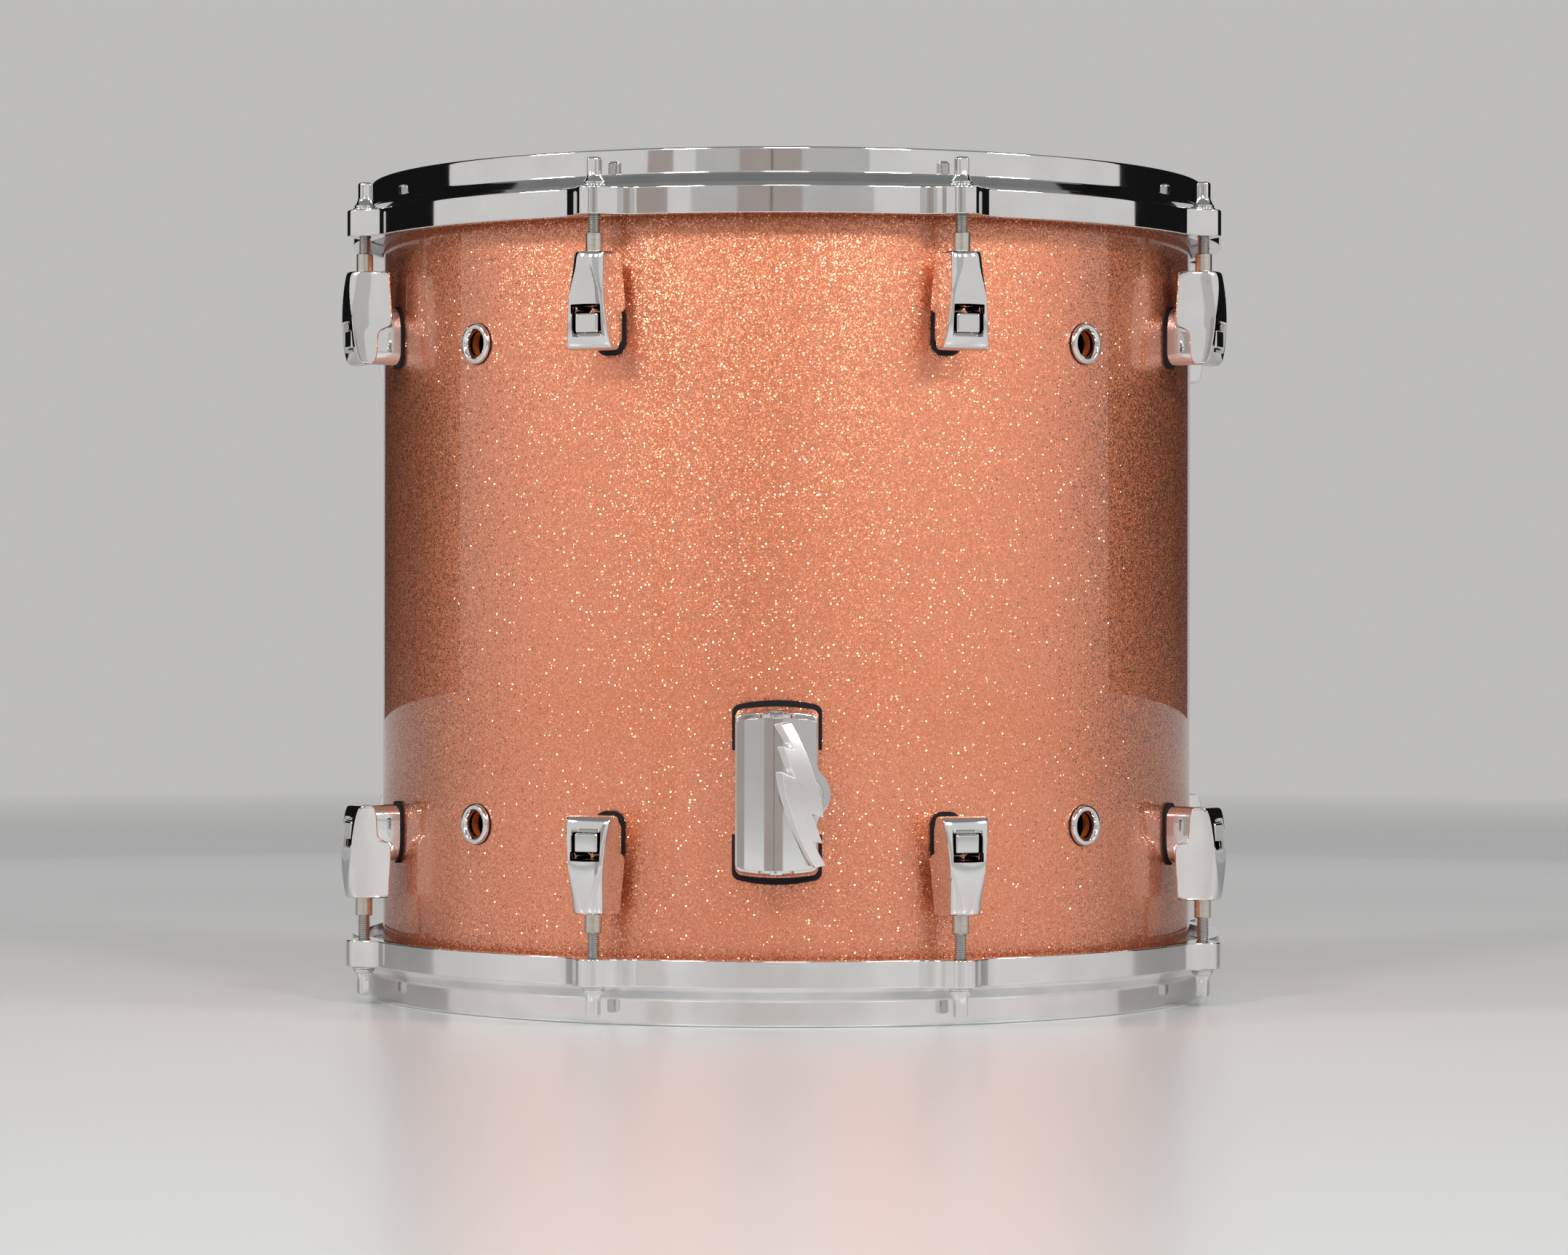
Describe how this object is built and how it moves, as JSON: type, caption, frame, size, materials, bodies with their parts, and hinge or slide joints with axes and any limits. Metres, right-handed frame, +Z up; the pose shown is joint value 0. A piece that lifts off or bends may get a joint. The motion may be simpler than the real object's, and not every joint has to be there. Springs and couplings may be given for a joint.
{
  "type": "floor tom",
  "caption": "Cylindrical drum with a head and a cast hoop at both ends, drawn tight by rods in hook lugs, and clamps with wing screws for its legs.",
  "frame": {"origin": "on the floor under the middle of the overall box; the drum's own axis stands 11.05 mm behind it, because the front wing screw reaches out further than the hoops", "axes": "+Z up along the drum's axis, -Y towards the front leg clamp, +X to the right of a viewer in front"},
  "size_m": [0.4348, 0.457, 0.4025],
  "materials": {
    "lacquered_shell": "copper glitter lacquer under a gloss clear coat outside, clear varnish on the wood inside",
    "drum_film": "coated polyester film",
    "cast_chrome": "polished chrome plating on zinc castings",
    "plated_rod": "nickel plated steel, turned",
    "satin_nickel": "satin nickel plating on a zinc casting",
    "gasket_rubber": "ribbed black gasket"
  },
  "bodies": {
    "drum": {"shell": "lacquered_shell", "batter_head": "drum_film", "batter_hoop": "cast_chrome", "batter_lug_1": "cast_chrome", "batter_lug_base_1": "cast_chrome", "batter_lug_2": "cast_chrome", "batter_lug_base_2": "cast_chrome", "batter_lug_3": "cast_chrome", "batter_lug_base_3": "cast_chrome", "batter_lug_4": "cast_chrome", "batter_lug_base_4": "cast_chrome", "batter_lug_5": "cast_chrome", "batter_lug_base_5": "cast_chrome", "batter_lug_6": "cast_chrome", "batter_lug_base_6": "cast_chrome", "batter_lug_7": "cast_chrome", "batter_lug_base_7": "cast_chrome", "batter_lug_8": "cast_chrome", "batter_lug_base_8": "cast_chrome", "resonant_head": "drum_film", "resonant_hoop": "cast_chrome", "resonant_lug_1": "cast_chrome", "resonant_lug_base_1": "cast_chrome", "resonant_lug_2": "cast_chrome", "resonant_lug_base_2": "cast_chrome", "resonant_lug_3": "cast_chrome", "resonant_lug_base_3": "cast_chrome", "resonant_lug_4": "cast_chrome", "resonant_lug_base_4": "cast_chrome", "resonant_lug_5": "cast_chrome", "resonant_lug_base_5": "cast_chrome", "resonant_lug_6": "cast_chrome", "resonant_lug_base_6": "cast_chrome", "resonant_lug_7": "cast_chrome", "resonant_lug_base_7": "cast_chrome", "resonant_lug_8": "cast_chrome", "resonant_lug_base_8": "cast_chrome", "leg_clamp_1": "cast_chrome", "leg_clamp_2": "cast_chrome", "leg_clamp_3": "cast_chrome"},
    "batter_tension_rod_1": {"batter_tension_rod_1": "plated_rod"},
    "batter_tension_rod_2": {"batter_tension_rod_2": "plated_rod"},
    "batter_tension_rod_3": {"batter_tension_rod_3": "plated_rod"},
    "batter_tension_rod_4": {"batter_tension_rod_4": "plated_rod"},
    "batter_tension_rod_5": {"batter_tension_rod_5": "plated_rod"},
    "batter_tension_rod_6": {"batter_tension_rod_6": "plated_rod"},
    "batter_tension_rod_7": {"batter_tension_rod_7": "plated_rod"},
    "batter_tension_rod_8": {"batter_tension_rod_8": "plated_rod"},
    "resonant_tension_rod_1": {"resonant_tension_rod_1": "plated_rod"},
    "resonant_tension_rod_2": {"resonant_tension_rod_2": "plated_rod"},
    "resonant_tension_rod_3": {"resonant_tension_rod_3": "plated_rod"},
    "resonant_tension_rod_4": {"resonant_tension_rod_4": "plated_rod"},
    "resonant_tension_rod_5": {"resonant_tension_rod_5": "plated_rod"},
    "resonant_tension_rod_6": {"resonant_tension_rod_6": "plated_rod"},
    "resonant_tension_rod_7": {"resonant_tension_rod_7": "plated_rod"},
    "resonant_tension_rod_8": {"resonant_tension_rod_8": "plated_rod"},
    "wing_screw_1": {"wing_screw_1": "satin_nickel"},
    "wing_screw_2": {"wing_screw_2": "satin_nickel"},
    "wing_screw_3": {"wing_screw_3": "satin_nickel"}
  },
  "joints": [
    {"name": "batter_tension_rod_1_turn", "type": "hinge", "parent": "drum", "child": "batter_tension_rod_1", "pos_m": [0.08408, -0.19193, 0.3843], "axis": [0, 0, 1], "range_deg": [-135, 585]},
    {"name": "batter_tension_rod_2_turn", "type": "hinge", "parent": "drum", "child": "batter_tension_rod_2", "pos_m": [0.20298, -0.07303, 0.3843], "axis": [0, 0, 1], "range_deg": [-135, 585]},
    {"name": "batter_tension_rod_3_turn", "type": "hinge", "parent": "drum", "child": "batter_tension_rod_3", "pos_m": [0.20298, 0.09513, 0.3843], "axis": [0, 0, 1], "range_deg": [-135, 585]},
    {"name": "batter_tension_rod_4_turn", "type": "hinge", "parent": "drum", "child": "batter_tension_rod_4", "pos_m": [0.08408, 0.21403, 0.3843], "axis": [0, 0, 1], "range_deg": [-135, 585]},
    {"name": "batter_tension_rod_5_turn", "type": "hinge", "parent": "drum", "child": "batter_tension_rod_5", "pos_m": [-0.08408, 0.21403, 0.3843], "axis": [0, 0, 1], "range_deg": [-135, 585]},
    {"name": "batter_tension_rod_6_turn", "type": "hinge", "parent": "drum", "child": "batter_tension_rod_6", "pos_m": [-0.20298, 0.09513, 0.3843], "axis": [0, 0, 1], "range_deg": [-135, 585]},
    {"name": "batter_tension_rod_7_turn", "type": "hinge", "parent": "drum", "child": "batter_tension_rod_7", "pos_m": [-0.20298, -0.07303, 0.3843], "axis": [0, 0, 1], "range_deg": [-135, 585]},
    {"name": "batter_tension_rod_8_turn", "type": "hinge", "parent": "drum", "child": "batter_tension_rod_8", "pos_m": [-0.08408, -0.19193, 0.3843], "axis": [0, 0, 1], "range_deg": [-135, 585]},
    {"name": "resonant_tension_rod_1_turn", "type": "hinge", "parent": "drum", "child": "resonant_tension_rod_1", "pos_m": [0.08408, -0.19193, 0.0182], "axis": [0, 0, -1], "range_deg": [-135, 585]},
    {"name": "resonant_tension_rod_2_turn", "type": "hinge", "parent": "drum", "child": "resonant_tension_rod_2", "pos_m": [0.20298, -0.07303, 0.0182], "axis": [0, 0, -1], "range_deg": [-135, 585]},
    {"name": "resonant_tension_rod_3_turn", "type": "hinge", "parent": "drum", "child": "resonant_tension_rod_3", "pos_m": [0.20298, 0.09513, 0.0182], "axis": [0, 0, -1], "range_deg": [-135, 585]},
    {"name": "resonant_tension_rod_4_turn", "type": "hinge", "parent": "drum", "child": "resonant_tension_rod_4", "pos_m": [0.08408, 0.21403, 0.0182], "axis": [0, 0, -1], "range_deg": [-135, 585]},
    {"name": "resonant_tension_rod_5_turn", "type": "hinge", "parent": "drum", "child": "resonant_tension_rod_5", "pos_m": [-0.08408, 0.21403, 0.0182], "axis": [0, 0, -1], "range_deg": [-135, 585]},
    {"name": "resonant_tension_rod_6_turn", "type": "hinge", "parent": "drum", "child": "resonant_tension_rod_6", "pos_m": [-0.20298, 0.09513, 0.0182], "axis": [0, 0, -1], "range_deg": [-135, 585]},
    {"name": "resonant_tension_rod_7_turn", "type": "hinge", "parent": "drum", "child": "resonant_tension_rod_7", "pos_m": [-0.20298, -0.07303, 0.0182], "axis": [0, 0, -1], "range_deg": [-135, 585]},
    {"name": "resonant_tension_rod_8_turn", "type": "hinge", "parent": "drum", "child": "resonant_tension_rod_8", "pos_m": [-0.08408, -0.19193, 0.0182], "axis": [0, 0, -1], "range_deg": [-135, 585]},
    {"name": "wing_screw_1_turn", "type": "hinge", "parent": "drum", "child": "wing_screw_1", "pos_m": [0.0126, -0.21985, 0.1073], "axis": [0, -1, 0], "range_deg": [0, 450]},
    {"name": "wing_screw_2_turn", "type": "hinge", "parent": "drum", "child": "wing_screw_2", "pos_m": [0.15436, 0.18323, 0.1073], "axis": [0.7071, 0.7071, 0], "range_deg": [0, 450]},
    {"name": "wing_screw_3_turn", "type": "hinge", "parent": "drum", "child": "wing_screw_3", "pos_m": [-0.17218, 0.16541, 0.1073], "axis": [-0.7071, 0.7071, 0], "range_deg": [0, 450]}
  ]
}
